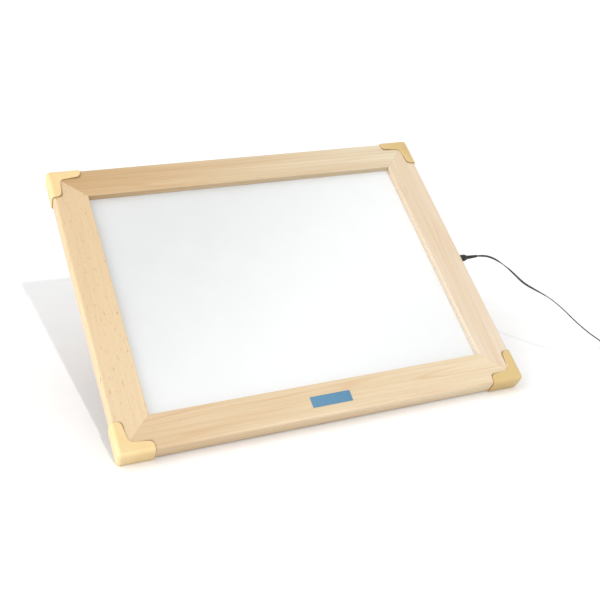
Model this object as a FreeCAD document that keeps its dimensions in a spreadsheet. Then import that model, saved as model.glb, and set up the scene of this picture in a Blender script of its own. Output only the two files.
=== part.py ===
import FreeCAD, Part
import math
import os
import re
from types import SimpleNamespace
import Sketcher

# A light box: a mitred beech frame round an edge-lit white panel, held at a drawing slope by a
# folding beech prop. The tablet is built flat in its own space (X across the front, Y from the
# front edge to the rear edge, Z out of the panel, top face at Z = 0) and is then tilted as a whole.
# The finished part stands on Z = 0, with its origin under the middle of the object's box.

Vector, Rotation, Placement = FreeCAD.Vector, FreeCAD.Rotation, FreeCAD.Placement
X_AXIS, Y_AXIS, Z_AXIS = Vector(1, 0, 0), Vector(0, 1, 0), Vector(0, 0, 1)
LEVEL = Rotation()
INTO_RAIL = Rotation(Y_AXIS, -90)  # turns Z to point into the right rail
OUT_OF_RAIL = Rotation(Y_AXIS, 90)  # turns Z to point out of it
ALONG_X = Rotation(Y_AXIS, 90)
ALONG_Y = Rotation(X_AXIS, -90)

doc = FreeCAD.newDocument("light_box")

# ---------------------------------------------------------------- driving dimensions (mm, degrees)
SIZES = {
    # the frame
    "width": 610, "depth": 478, "thickness": 26, "rail_width": 51.3,
    "edge_round": 4, "back_round": 4, "corner_round": 4, "lip_round": 1.2,
    "ledge_depth": 10.2, "rebate_width": 15, "board_thickness": 3.5, "board_ledge": 10,
    "tongue_length": 28, "tongue_width": 20, "tongue_thickness": 4,
    "tongue_inset": 20, "tongue_depth": 11,
    # the slope of the tablet and the backward lean of the prop
    "tilt": 36.5, "prop_lean": 10,
    # the corner guards
    "guard_wall": 2.2, "guard_arm": 48, "guard_lap": 12.5, "guard_web": 15.5,
    "guard_web_reach": 24, "guard_inner_round": 8, "guard_end_round": 7.5,
    # the panel and what lies behind it
    "panel_clearance": 1, "seal_thickness": 0.5, "seal_width": 8,
    "diffuser_thickness": 3, "guide_thickness": 4, "film_thickness": 0.5,
    "strip_thickness": 1.2, "strip_height": 8, "strip_gap": 0.4, "strip_end_gap": 12,
    "led_length": 3.5, "led_height": 2.8, "led_depth": 0.9, "led_count": 24,
    "led_gap": 0.9, "board_clearance": 0.5, "bay_width": 64,
    # the control board in its bay at the right
    "pcb_length": 82, "pcb_width": 40, "pcb_thickness": 1.2, "pcb_centre": 222,
    "pcb_inset": 50, "terminal_cover": 0.8, "terminal_length": 12, "terminal_width": 8,
    "chip_x": 12, "chip_y": 33, "chip_width": 5, "chip_length": 6, "chip_height": 1.6,
    "choke_x": 12, "choke_y": 49, "choke_side": 8, "choke_height": 2.6,
    "capacitor_x": 4, "capacitor_y": 24.6, "capacitor_side": 6, "capacitor_height": 2.5,
    "lead_radius": 0.6, "lead_spacing": 2.6, "lead_depth": 19.4, "lead_bore": 2,
    # the socket and the push button in the right rail
    "jack_place": 234, "jack_depth": 15, "jack_radius": 5.2, "jack_length": 14,
    "flange_radius": 6.5, "flange_thickness": 1.5, "socket_radius": 2.85,
    "socket_depth": 10, "jack_pin_radius": 1, "jack_pin_length": 8,
    "button_place": 190, "button_depth": 14, "button_radius": 4.5, "button_proud": 1.6,
    "button_travel": 1.2, "button_gap": 0.3, "skirt_radius": 5.2, "skirt_thickness": 1.5,
    "bezel_radius": 6, "bezel_length": 10, "bezel_flange": 7, "bezel_lip": 3,
    "stem_radius": 1.6, "cap_round": 0.5, "switch_length": 9, "spring_radius": 3,
    "spring_wire": 0.35, "spring_turns": 5, "spring_length": 8, "spring_seat": 0.2,
    # the blank label
    "label_length": 61, "label_width": 17, "label_thickness": 0.3, "label_place": 23.6,
    "label_round": 1,
    # the prop
    "pivot_place": 360, "batten_width": 44, "batten_thickness": 9, "batten_end_gap": 8,
    "bracket_wall": 1.5, "bracket_length": 40, "lug_radius": 6.5, "pivot_drop": 7,
    "pivot_radius": 2.5, "pivot_clearance": 0.1, "pivot_head_radius": 4,
    "pivot_head_length": 1.5, "leg_spacing": 340, "leg_width": 16, "leg_thickness": 12,
    "leg_gap": 0.5, "stop_gap": 0.3, "crossbar_radius": 6, "crossbar_height": 48,
    "crossbar_seat": 8, "foot_wall": 1.5, "foot_height": 16, "foot_sole": 5,
    # screws, with the cross in each head as shares of the head's radius
    "cross_reach": 0.6, "cross_slot": 0.12, "cross_depth": 0.4,
    "board_screw_radius": 1.5, "board_screw_head": 2.9, "board_screw_length": 12,
    "board_screw_inset": 5, "batten_screw_radius": 2, "batten_screw_head": 3.8,
    "batten_screw_length": 24, "batten_screw_inset": 14, "batten_screw_spacing": 22,
    "bracket_screw_radius": 1.5, "bracket_screw_head": 2.8, "bracket_screw_length": 8,
    "bracket_screw_spacing": 29,
    # the supply lead and its adapter
    "plug_radius": 5.5, "plug_grip": 13, "plug_neck_radius": 3, "plug_taper": 21,
    "plug_length": 38, "plug_tail_radius": 2.1, "plug_gap": 0.3, "plug_round": 0.5,
    "plug_shoulder": 1.5, "barrel_radius": 2.75,
    "barrel_bore": 1.25, "barrel_length": 9, "cord_diameter": 3.4, "cord_length": 1460,
    "coil_radius": 20.4, "coil_rows": 3, "tie_wall": 0.8, "tie_width": 12,
    "adapter_length": 66, "adapter_width": 40, "adapter_height": 28, "adapter_round": 4,
    "relief_length": 22, "relief_radius": 4, "blade_length": 16,
    "blade_width": 6.3, "blade_thickness": 1.5, "blade_spacing": 12.7,
}
sheet = doc.addObject("Spreadsheet::Sheet", "sizes")
for row, (alias, value) in enumerate(SIZES.items(), start=1):
    sheet.set(f"A{row}", alias)
    sheet.set(f"B{row}", str(value))
    sheet.setAlias(f"B{row}", alias)
doc.recompute()
# The same sizes as plain numbers, read back from the sheet.
d = SimpleNamespace(**{alias: float(sheet.get(alias)) for alias in SIZES})


def tied(text):
    """A sum of sizes, written so that the expression engine reads each one from the sheet."""
    return re.sub(r"[a-z_]+", lambda m: f"sizes.{m[0]}" if m[0] in SIZES else m[0], str(text))


# ---------------------------------------------------------------- heights that pieces share
# Each is a depth below the top face, from the ledge down to the back.
SEAL_BACK = "(ledge_depth + seal_thickness)"
DIFFUSER_BACK = f"({SEAL_BACK} + diffuser_thickness)"
GUIDE_BACK = f"({DIFFUSER_BACK} + guide_thickness)"
FILM_BACK = f"({GUIDE_BACK} + film_thickness)"
BOARD_FACE = "(thickness - board_thickness)"
BATTEN_BACK = "(thickness + batten_thickness)"
BRACKET_BACK = f"({BATTEN_BACK} + bracket_wall)"
PIVOT_DEPTH = f"({BRACKET_BACK} + pivot_drop)"
# Distances in from the frame's outer faces.
WALL = "(rail_width - rebate_width)"
GUIDE_INSET = f"({WALL} + strip_thickness + led_depth + led_gap)"
# The tablet's lift off the floor, when its front lower guards stand on it.
LIFT = "(back_round + guard_wall + (thickness - back_round) * cos(tilt) - back_round * sin(tilt))"
# Along a prop leg from its pivot to the floor, and to the end of the wood.
REACH = f"((pivot_place * sin(tilt) - {PIVOT_DEPTH} * cos(tilt) + {LIFT}) / cos(prop_lean))"
LEG_END = f"({REACH} - foot_sole)"


# ---------------------------------------------------------------- helpers
def put(obj, spot, turn=LEVEL):
    """Turns an object and ties its place to the sheet."""
    obj.Placement = Placement(Vector(), turn)
    for axis, text in zip("xyz", spot):
        obj.setExpression(f"Placement.Base.{axis}", tied(text))
    return obj


def block(name, low, spans, turn=LEVEL):
    """A box from its low corner and its spans along X, Y and Z."""
    box = doc.addObject("Part::Box", name)
    for side, text in zip(("Length", "Width", "Height"), spans):
        box.setExpression(side, tied(text))
    return put(box, low, turn)


def rod(name, start, radius, length, turn=ALONG_X):
    """A cylinder from the middle of its first end."""
    cylinder = doc.addObject("Part::Cylinder", name)
    cylinder.setExpression("Radius", tied(radius))
    cylinder.setExpression("Height", tied(length))
    return put(cylinder, start, turn)


def joined(kind, name, pieces):
    """Several objects as one: fused (Part::MultiFuse) or side by side (Part::Compound)."""
    result = doc.addObject(kind, name)
    setattr(result, "Links" if kind == "Part::Compound" else "Shapes", pieces)
    return result


def fused(name, *pieces):
    return joined("Part::MultiFuse", name, list(pieces))


def group(name, *pieces):
    return joined("Part::Compound", name, list(pieces))


def less(name, base, tool):
    """What is left of base when tool is taken away."""
    result = doc.addObject("Part::Cut", name)
    result.Base, result.Tool = base, tool
    return result


def shared(name, base, tool):
    """The space that base and tool share."""
    result = doc.addObject("Part::Common", name)
    result.Base, result.Tool = base, tool
    return result


def copies(name, source, spots, turn=LEVEL):
    """Separate solids of one pattern piece, one at each spot, in one object."""
    doc.recompute()
    shapes = []
    for spot in spots:
        shape = source.Shape.copy()
        shape.Placement = Placement(Vector(*spot), turn).multiply(shape.Placement)
        shapes.append(shape)
    result = doc.addObject("Part::Feature", name)
    result.Shape = Part.makeCompound(shapes)
    return result


def new_body(name):
    return doc.addObject("PartDesign::Body", name)


def outline(body, corners, role="XY_Plane", lift="0"):
    """A closed sketch of straight sides, each corner tied to the sheet."""
    plane = next(o for o in body.Origin.OriginFeatures if o.Role == role)
    sketch = body.newObject("Sketcher::SketchObject", f"{body.Name}_outline")
    sketch.AttachmentSupport = [(plane, "")]
    sketch.MapMode = "FlatFace"
    sketch.setExpression("AttachmentOffset.Base.z", tied(lift))
    count = len(corners)
    # A first shape with its corners apart, which the sizes then pull into place.
    loose = [Vector(math.cos(2 * math.pi * k / count), math.sin(2 * math.pi * k / count), 0)
             for k in range(count)]
    for k in range(count):
        sketch.addGeometry(Part.LineSegment(loose[k], loose[(k + 1) % count]))
    for k in range(count):
        sketch.addConstraint(Sketcher.Constraint("Coincident", k, 2, (k + 1) % count, 1))
    for k, corner in enumerate(corners):
        for kind, text, start in zip(("DistanceX", "DistanceY"), corner, loose[k]):
            index = sketch.addConstraint(Sketcher.Constraint(kind, -1, 1, k, 1, start))
            sketch.setExpression(f"Constraints[{index}]", tied(text))
    return sketch


def pad(body, sketch, length, both_ways=False):
    """Raises a sketch into a solid."""
    feature = body.newObject("PartDesign::Pad", f"{body.Name}_pad")
    feature.Profile = sketch
    feature.setExpression("Length", tied(length))
    feature.Midplane = both_ways
    doc.recompute()
    return feature


def pocket(body, sketch, depth):
    """Cuts upwards from a sketch that lies on the underside of the solid."""
    before = body.Shape.Volume
    feature = body.newObject("PartDesign::Pocket", f"{body.Name}_pocket")
    feature.Profile = sketch
    feature.setExpression("Length", tied(depth))
    feature.Reversed = True
    doc.recompute()
    if not body.Shape.Volume < before:
        raise RuntimeError(f"a pocket in {body.Name} cuts nothing")
    return feature


def rounded(body, radius, choose):
    """Rounds the edges whose middle and direction the chooser accepts."""
    doc.recompute()
    tip = body.Tip
    names = []
    for index, edge in enumerate(tip.Shape.Edges, start=1):
        if edge.Length < 0.01:
            continue
        middle = edge.valueAt((edge.FirstParameter + edge.LastParameter) / 2)
        along = edge.tangentAt((edge.FirstParameter + edge.LastParameter) / 2)
        if choose(middle, along):
            names.append(f"Edge{index}")
    feature = body.newObject("PartDesign::Fillet", f"{body.Name}_round")
    feature.Base = (tip, names)
    feature.setExpression("Radius", tied(radius))
    doc.recompute()
    return feature


def spin(body, corners):
    """Turns an outline of (radius, height) corners about the upright axis."""
    sketch = outline(body, corners, "XZ_Plane")
    feature = body.newObject("PartDesign::Revolution", f"{body.Name}_spin")
    feature.Profile = sketch
    feature.ReferenceAxis = (sketch, ["V_Axis"])
    feature.Angle = 360
    doc.recompute()
    return body


def turned(name, corners, spot=("0", "0", "0"), turn=LEVEL):
    """A turned piece, placed."""
    return put(spin(new_body(name), corners), spot, turn)


def spaced(low, high, count):
    """Places spread evenly from low to high."""
    return [low + (high - low) * k / (count - 1) for k in range(count)]


def upright(middle, along):
    return abs(along.z) > 0.99


def near(a, b, slack=0.01):
    return abs(a - b) < slack


NODES = {}  # every finished sub-part, by name
WHERE = {}  # which of the placements below it takes


def finish(name, obj, where="tablet"):
    """Names a finished sub-part and notes how it is placed."""
    NODES[name] = obj
    WHERE[name] = where
    return obj


# ---------------------------------------------------------------- shared outer forms
def slab(name, wall):
    """The frame's whole outer form, grown all round by a wall: a plate with rounded edges."""
    body = new_body(name)
    half, low, high = f"(width / 2 + {wall})", f"(0 - {wall})", f"(depth + {wall})"
    sketch = outline(body, [(f"-{half}", low), (half, low), (half, high), (f"-{half}", high)],
                     lift=f"-thickness - {wall}")
    pad(body, sketch, f"thickness + 2 * {wall}")
    grown = 0 if wall == "0" else d.guard_wall
    rounded(body, f"corner_round + {wall}", upright)
    rounded(body, f"edge_round + {wall}", lambda m, a: near(m.z, grown))
    rounded(body, f"back_round + {wall}", lambda m, a: near(m.z, -d.thickness - grown))
    return body


frame_form = slab("frame_form", "0")
guard_form = slab("guard_form", "guard_wall")


# ---------------------------------------------------------------- fasteners and tongues
def wood_screw(name, radius, head, length):
    """A countersunk cross-head screw, head face at Z = 0 and tip up."""
    body = spin(new_body(name), [
        ("0", "0"), (head, "0"), (radius, f"{head} - {radius}"),
        (radius, f"{length} - 2 * {radius}"), ("0", length)])
    arm, slot = f"{head} * cross_reach", f"{head} * cross_slot"
    cross = [(arm, slot), (slot, slot), (slot, arm), (f"-{slot}", arm), (f"-{slot}", slot),
             (f"-{arm}", slot), (f"-{arm}", f"-{slot}"), (f"-{slot}", f"-{slot}"),
             (f"-{slot}", f"-{arm}"), (slot, f"-{arm}"), (slot, f"-{slot}"), (arm, f"-{slot}")]
    pocket(body, outline(body, cross), f"{head} * cross_depth")
    return body


board_screw = wood_screw("board_screw", "board_screw_radius", "board_screw_head",
                         "board_screw_length")
batten_screw = wood_screw("batten_screw", "batten_screw_radius", "batten_screw_head",
                          "batten_screw_length")
bracket_screw = wood_screw("bracket_screw", "bracket_screw_radius", "bracket_screw_head",
                           "bracket_screw_length")

# The board's screws stand in the ledge that it lies on, set out from the ledge's inner edge.
screw_edge = d.rail_width - d.rebate_width - d.board_screw_inset
across = spaced(screw_edge - d.width / 2, d.width / 2 - screw_edge, 4)
along = spaced(screw_edge, d.depth - screw_edge, 4)
board_screw_spots = [(x, y, -d.thickness) for x in across for y in along
                     if x in (across[0], across[-1]) or y in (along[0], along[-1])]
board_screws = finish("board_screws", copies("board_screws", board_screw, board_screw_spots))

batten_low = d.thickness + d.batten_thickness
batten_screw_x = d.width / 2 - d.batten_screw_inset
batten_screws = finish("batten_screws", copies("batten_screws", batten_screw, [
    (x, d.pivot_place + y * d.batten_screw_spacing / 2, -batten_low)
    for x in (-batten_screw_x, batten_screw_x) for y in (-1, 1)]))

leg_places = {"left": -d.leg_spacing / 2, "right": d.leg_spacing / 2}
bracket_screws = finish("bracket_screws", copies("bracket_screws", bracket_screw, [
    (x, d.pivot_place + y * d.bracket_screw_spacing / 2, -batten_low - d.bracket_wall)
    for x in leg_places.values() for y in (-1, 1)]))

tongues = []
for sx, sy, slope in ((-1, -1, 1), (1, -1, -1), (1, 1, 1), (-1, 1, -1)):
    middle_x = f"{sx} * (width / 2 - tongue_inset)"
    middle_y = "tongue_inset" if sy < 0 else "(depth - tongue_inset)"
    low = (f"{middle_x} - cos(45) * (tongue_length / 2 - {slope} * tongue_width / 2)",
           f"{middle_y} - cos(45) * ({slope} * tongue_length / 2 + tongue_width / 2)",
           "-tongue_depth - tongue_thickness")
    tongues.append(block(f"tongue_{len(tongues)}", low,
                         ("tongue_length", "tongue_width", "tongue_thickness"),
                         Rotation(Z_AXIS, 45 * slope)))
mitre_tongues = finish("mitre_tongues", group("mitre_tongues", *tongues))

# ---------------------------------------------------------------- the socket in the right rail
jack_spot = ("width / 2", "jack_place", "-jack_depth")
dc_jack = finish("dc_jack", turned("dc_jack", [
    ("socket_radius", "0"), ("flange_radius", "0"), ("flange_radius", "flange_thickness"),
    ("jack_radius", "flange_thickness"), ("jack_radius", "jack_length"), ("0", "jack_length"),
    ("0", "socket_depth"), ("socket_radius", "socket_depth")], jack_spot, INTO_RAIL))
finish("jack_pin", rod("jack_pin", ("width / 2 - socket_depth", "jack_place", "-jack_depth"),
                       "jack_pin_radius", "jack_pin_length"))
jack_hole = fused(
    "jack_hole",
    rod("jack_hole_flange", ("width / 2 - flange_thickness", "jack_place", "-jack_depth"),
        "flange_radius", "flange_thickness + edge_round"),
    rod("jack_hole_bore", ("width / 2 - jack_length", "jack_place", "-jack_depth"),
        "jack_radius", "jack_length"),
    rod("jack_hole_leads", (f"width / 2 - {WALL} - lead_bore", "jack_place", "-lead_depth"),
        "lead_bore", f"{WALL} + lead_bore - jack_length"))

# ---------------------------------------------------------------- the push button beside it
button_spot = ("width / 2", "button_place", "-button_depth")
CAP_HOLE = "(button_radius + button_gap)"
SKIRT_HOLE = "(skirt_radius + button_gap)"
SKIRT_FACE = "(bezel_lip + button_gap)"
SKIRT_BACK = f"({SKIRT_FACE} + skirt_thickness)"
SWITCH_FACE = f"({SKIRT_BACK} + spring_length)"
SWITCH_BACK = f"({SWITCH_FACE} + switch_length)"
STEM_END = f"({SWITCH_FACE} - button_travel - button_gap)"
finish("button_bezel", turned("button_bezel", [
    (CAP_HOLE, "0"), ("bezel_flange", "0"), ("bezel_flange", "flange_thickness"),
    ("bezel_radius", "flange_thickness"), ("bezel_radius", "bezel_length"),
    (SKIRT_HOLE, "bezel_length"), (SKIRT_HOLE, "bezel_lip"), (CAP_HOLE, "bezel_lip")],
    button_spot, INTO_RAIL))
finish("power_button", turned("power_button", [
    ("0", "-button_proud"), ("button_radius", "-button_proud"), ("button_radius", SKIRT_FACE),
    ("skirt_radius", SKIRT_FACE), ("skirt_radius", SKIRT_BACK), ("stem_radius", SKIRT_BACK),
    ("stem_radius", STEM_END), ("0", STEM_END)], button_spot, INTO_RAIL))
rounded(NODES["power_button"], "cap_round", lambda m, a: near(m.z, -d.button_proud))
finish("switch_body", rod("switch_body", (f"width / 2 - {SWITCH_BACK}", "button_place",
                                          "-button_depth"), "bezel_radius", "switch_length"))
button_hole = fused(
    "button_hole",
    rod("button_hole_flange", ("width / 2 - flange_thickness", "button_place", "-button_depth"),
        "bezel_flange", "flange_thickness + edge_round"),
    rod("button_hole_bore", (f"width / 2 - {SWITCH_BACK}", "button_place", "-button_depth"),
        "bezel_radius", SWITCH_BACK),
    rod("button_hole_leads", (f"width / 2 - {WALL} - lead_bore", "button_place", "-lead_depth"),
        "lead_bore", f"{WALL} + lead_bore - {SWITCH_BACK}"))

# The return spring: a round wire carried along a helix between the skirt and the switch.
coil_line = doc.addObject("Part::Helix", "spring_line")
coil_line.setExpression("Radius", tied("spring_radius"))
SPRING_RUN = "(spring_length - 2 * spring_wire - 2 * spring_seat)"
coil_line.setExpression("Height", tied(SPRING_RUN))
coil_line.setExpression("Pitch", tied(f"{SPRING_RUN} / spring_turns"))
wire_section = doc.addObject("Part::Circle", "spring_section")
wire_section.setExpression("Radius", tied("spring_wire"))
put(wire_section, ("spring_radius", "0", "0"), Rotation(X_AXIS, 90))
doc.recompute()
button_spring = doc.addObject("Part::Sweep", "button_spring")
button_spring.Sections = [wire_section]
button_spring.Spine = (coil_line, ["Edge1"])
button_spring.Solid = True
button_spring.Frenet = True
put(button_spring, (f"width / 2 - {SKIRT_BACK} - spring_wire - spring_seat", "button_place",
                    "-button_depth"), INTO_RAIL)
finish("button_spring", button_spring)

# ---------------------------------------------------------------- the four mitred rails
joinery = [mitre_tongues, board_screws, batten_screws]


def rail(name, length, middle, turn, holes=()):
    """One rail: a mitred bar, rebated twice from behind, rounded with the frame's outer form."""
    wood = new_body(f"{name}_wood")
    half = f"{length} / 2"
    bar = outline(wood, [(f"-{half}", "0"), (half, "0"), (f"{half} - rail_width", "rail_width"),
                         (f"-{half} + rail_width", "rail_width")], lift="-thickness")
    pad(wood, bar, "thickness")
    for inner, depth in ((WALL, "(thickness - ledge_depth)"),
                         (f"({WALL} - board_ledge)", "board_thickness")):
        strip = outline(wood, [(f"-{half}", inner), (half, inner), (half, "rail_width + 1"),
                               (f"-{half}", "rail_width + 1")], lift="-thickness")
        pocket(wood, strip, depth)
    rounded(wood, "lip_round", lambda m, a: near(m.z, 0) and near(m.y, d.rail_width))
    put(wood, middle, turn)
    shaped = shared(f"{name}_shaped", wood, frame_form)
    return finish(name, less(name, shaped, group(f"{name}_cuts", *joinery, *holes)))


rail("front_rail", "width", ("0", "0", "0"), LEVEL)
rail("rear_rail", "width", ("0", "depth", "0"), Rotation(Z_AXIS, 180))
rail("left_rail", "depth", ("-width / 2", "depth / 2", "0"), Rotation(Z_AXIS, -90))
rail("right_rail", "depth", ("width / 2", "depth / 2", "0"), Rotation(Z_AXIS, 90),
     [jack_hole, button_hole])


# ---------------------------------------------------------------- the soft corner guards
def guard(name, corner, turn):
    """A wrap of the frame's corner: an L in plan that laps onto the top, the sides and the back."""
    plan = new_body(f"{name}_plan")
    out = "(0 - guard_wall - 1)"
    corners = [(out, out), ("guard_arm", out), ("guard_arm", "guard_lap"),
               ("guard_web_reach", "guard_web"), ("guard_web", "guard_web"),
               ("guard_web", "guard_web_reach"), ("guard_lap", "guard_arm"), (out, "guard_arm")]
    sketch = outline(plan, corners, lift="-thickness - guard_wall - 1")
    pad(plan, sketch, "thickness + 2 * (guard_wall + 1)")
    rounded(plan, "guard_inner_round",
            lambda m, a: upright(m, a) and near(m.x, d.guard_web) and near(m.y, d.guard_web))
    rounded(plan, "guard_end_round",
            lambda m, a: upright(m, a) and near(max(m.x, m.y), d.guard_arm) and min(m.x, m.y) > 0)
    put(plan, corner, turn)
    shell = shared(f"{name}_shell", guard_form, plan)
    return finish(name, less(name, shell, frame_form))


guard("guard_front_left", ("-width / 2", "0", "0"), LEVEL)
guard("guard_front_right", ("width / 2", "0", "0"), Rotation(Z_AXIS, 90))
guard("guard_rear_right", ("width / 2", "depth", "0"), Rotation(Z_AXIS, 180))
guard("guard_rear_left", ("-width / 2", "depth", "0"), Rotation(Z_AXIS, -90))


# ---------------------------------------------------------------- the panel stack
def sheet_piece(name, inset_x, inset_y, face, thickness):
    """A flat sheet centred in the frame, set in from its outer faces, face down from the top."""
    return block(name, (f"{inset_x} - width / 2", inset_y, f"-{face} - {thickness}"),
                 (f"width - 2 * {inset_x}", f"depth - 2 * {inset_y}", thickness))


EDGE = f"({WALL} + panel_clearance)"
finish("diffuser_panel", sheet_piece("diffuser_panel", EDGE, EDGE, SEAL_BACK, "diffuser_thickness"))
finish("light_guide", sheet_piece("light_guide", EDGE, GUIDE_INSET, DIFFUSER_BACK, "guide_thickness"))
finish("reflector_film", sheet_piece("reflector_film", EDGE, GUIDE_INSET, GUIDE_BACK, "film_thickness"))
seal_outer = sheet_piece("seal_outer", EDGE, EDGE, "ledge_depth", "seal_thickness")
seal_inner = sheet_piece("seal_inner", f"({EDGE} + seal_width)", f"({EDGE} + seal_width)",
                         "ledge_depth", "seal_thickness")
finish("dust_seal", less("dust_seal", seal_outer, seal_inner))

BOARD_INSET = f"({WALL} - board_ledge + board_clearance)"
board_blank = sheet_piece("board_blank", BOARD_INSET, BOARD_INSET, BOARD_FACE, "board_thickness")
finish("back_board", less("back_board", board_blank, board_screws))
finish("backing_foam", block(
    "backing_foam", (f"{EDGE} - width / 2", GUIDE_INSET, f"-{BOARD_FACE}"),
    (f"width - {WALL} - {EDGE} - bay_width", f"depth - 2 * {GUIDE_INSET}",
     f"{BOARD_FACE} - {FILM_BACK}")))

# ---------------------------------------------------------------- the two strips of lamps
STRIP_INSET = f"({EDGE} + strip_end_gap)"
STRIP_TOP = f"({DIFFUSER_BACK} + strip_gap)"
led = block("led_pattern", ("-led_length / 2", "0", "-led_height / 2"),
            ("led_length", "led_depth", "led_height"))
guide_middle = d.ledge_depth + d.seal_thickness + d.diffuser_thickness + d.guide_thickness / 2
wall_inset = d.rail_width - d.rebate_width
strip_run = d.width - 2 * (wall_inset + d.panel_clearance + d.strip_end_gap)
led_places = [strip_run * ((k + 0.5) / d.led_count - 0.5) for k in range(int(d.led_count))]
strip_face = wall_inset + d.strip_thickness
for end, strip_low, led_low in (("front", WALL, strip_face),
                                ("rear", f"depth - {WALL} - strip_thickness",
                                 d.depth - strip_face - d.led_depth)):
    finish(f"led_strip_{end}", block(
        f"led_strip_{end}",
        (f"{STRIP_INSET} - width / 2", strip_low, f"-{STRIP_TOP} - strip_height"),
        (f"width - 2 * {STRIP_INSET}", "strip_thickness", "strip_height")))
    led_spots = [(x, led_low, -guide_middle) for x in led_places]
    finish(f"leds_{end}", copies(f"leds_{end}", led, led_spots))

# ---------------------------------------------------------------- the control board and its leads
PCB_LOW_X = "(width / 2 - pcb_inset - pcb_width)"
PCB_LOW_Y = "(pcb_centre - pcb_length / 2)"
PCB_TOP = f"({BOARD_FACE} - pcb_thickness)"
# A terminal reaches from the control board to just over the leads that it holds.
TERMINAL_HEIGHT = f"({PCB_TOP} - lead_depth + terminal_cover)"
finish("control_board", block("control_board", (PCB_LOW_X, PCB_LOW_Y, f"-{BOARD_FACE}"),
                              ("pcb_width", "pcb_length", "pcb_thickness")))


def part_on_board(name, along_x, along_y, *spans):
    """A component that stands on the control board, placed from the board's low corner."""
    low = (f"{PCB_LOW_X} + {along_x}", f"{PCB_LOW_Y} + {along_y}", f"-{PCB_TOP}")
    return block(name, low, spans)


finish("board_components", group(
    "board_components",
    *[part_on_board(f"{end}_terminal", "pcb_width - terminal_width",
                    f"{place} - {PCB_LOW_Y} - terminal_length / 2",
                    "terminal_width", "terminal_length", TERMINAL_HEIGHT)
      for end, place in (("jack", "jack_place"), ("switch", "button_place"))],
    *[part_on_board(f"{end}_terminal", "(pcb_width - terminal_length) / 2", along_y,
                    "terminal_length", "terminal_width", TERMINAL_HEIGHT)
      for end, along_y in (("front", "0"), ("rear", "pcb_length - terminal_width"))],
    part_on_board("driver_chip", "chip_x", "chip_y", "chip_width", "chip_length", "chip_height"),
    part_on_board("choke", "choke_x", "choke_y", "choke_side", "choke_side", "choke_height"),
    part_on_board("capacitor", "capacitor_x", "capacitor_y", "capacitor_side", "capacitor_side",
                  "capacitor_height")))

PCB_RIGHT = "(width / 2 - pcb_inset)"
LEAD_X = f"({PCB_LOW_X} + pcb_width / 2)"


def lead_pair(name, start, length, turn, across):
    """Two insulated leads side by side, across being the axis that parts them."""
    leads = []
    for sign in (-1, 1):
        spot = list(start)
        spot[across] = f"{spot[across]} + {sign} * lead_spacing / 2"
        leads.append(rod(f"{name}_{sign + 1}", spot, "lead_radius", length, turn))
    return leads


finish("jack_leads", group("jack_leads", *lead_pair(
    "jack_lead", [PCB_RIGHT, "jack_place", "-lead_depth"], "pcb_inset - jack_length", ALONG_X, 1)))
finish("switch_leads", group("switch_leads", *lead_pair(
    "switch_lead", [PCB_RIGHT, "button_place", "-lead_depth"], f"pcb_inset - {SWITCH_BACK}",
    ALONG_X, 1)))
STRIP_FACE = f"({WALL} + strip_thickness)"
PCB_REAR = f"({PCB_LOW_Y} + pcb_length)"
finish("strip_leads", group(
    "strip_leads",
    *lead_pair("front_lead", [LEAD_X, STRIP_FACE, "-lead_depth"],
               f"{PCB_LOW_Y} - {STRIP_FACE}", ALONG_Y, 0),
    *lead_pair("rear_lead", [LEAD_X, PCB_REAR, "-lead_depth"],
               f"depth - {STRIP_FACE} - {PCB_REAR}", ALONG_Y, 0)))

# ---------------------------------------------------------------- the blank label on the front rail
label = new_body("blank_label")
label_near, label_far = "label_place - label_width / 2", "label_place + label_width / 2"
pad(label, outline(label, [
    ("-label_length / 2", label_near), ("label_length / 2", label_near),
    ("label_length / 2", label_far), ("-label_length / 2", label_far)]), "label_thickness")
rounded(label, "label_round", upright)
finish("blank_label", label)

# ---------------------------------------------------------------- the prop's fixed side
batten_blank = new_body("batten_blank")
batten_half = "(width / 2 - batten_end_gap)"
near_side, far_side = "(pivot_place - batten_width / 2)", "(pivot_place + batten_width / 2)"
pad(batten_blank, outline(batten_blank, [
    (f"-{batten_half}", near_side), (batten_half, near_side), (batten_half, far_side),
    (f"-{batten_half}", far_side)], lift=f"-{BATTEN_BACK}"), "batten_thickness")
rounded(batten_blank, "lip_round", lambda m, a: near(m.z, -batten_low))
finish("prop_batten", less("prop_batten", batten_blank,
                           group("batten_cuts", batten_screws, bracket_screws)))

PIN_HALF = "(leg_width / 2 + leg_gap + bracket_wall)"
pin = turned("pin_pattern", [
    ("0", f"-{PIN_HALF} - pivot_head_length"), ("pivot_head_radius", f"-{PIN_HALF} - pivot_head_length"),
    ("pivot_head_radius", f"-{PIN_HALF}"), ("pivot_radius", f"-{PIN_HALF}"), ("pivot_radius", PIN_HALF),
    ("pivot_head_radius", PIN_HALF), ("pivot_head_radius", f"{PIN_HALF} + pivot_head_length"),
    ("0", f"{PIN_HALF} + pivot_head_length")])
pivot_depth = batten_low + d.bracket_wall + d.pivot_drop
pivot_pins = finish("pivot_pins", copies(
    "pivot_pins", pin, [(x, d.pivot_place, -pivot_depth) for x in leg_places.values()], ALONG_X))


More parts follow.
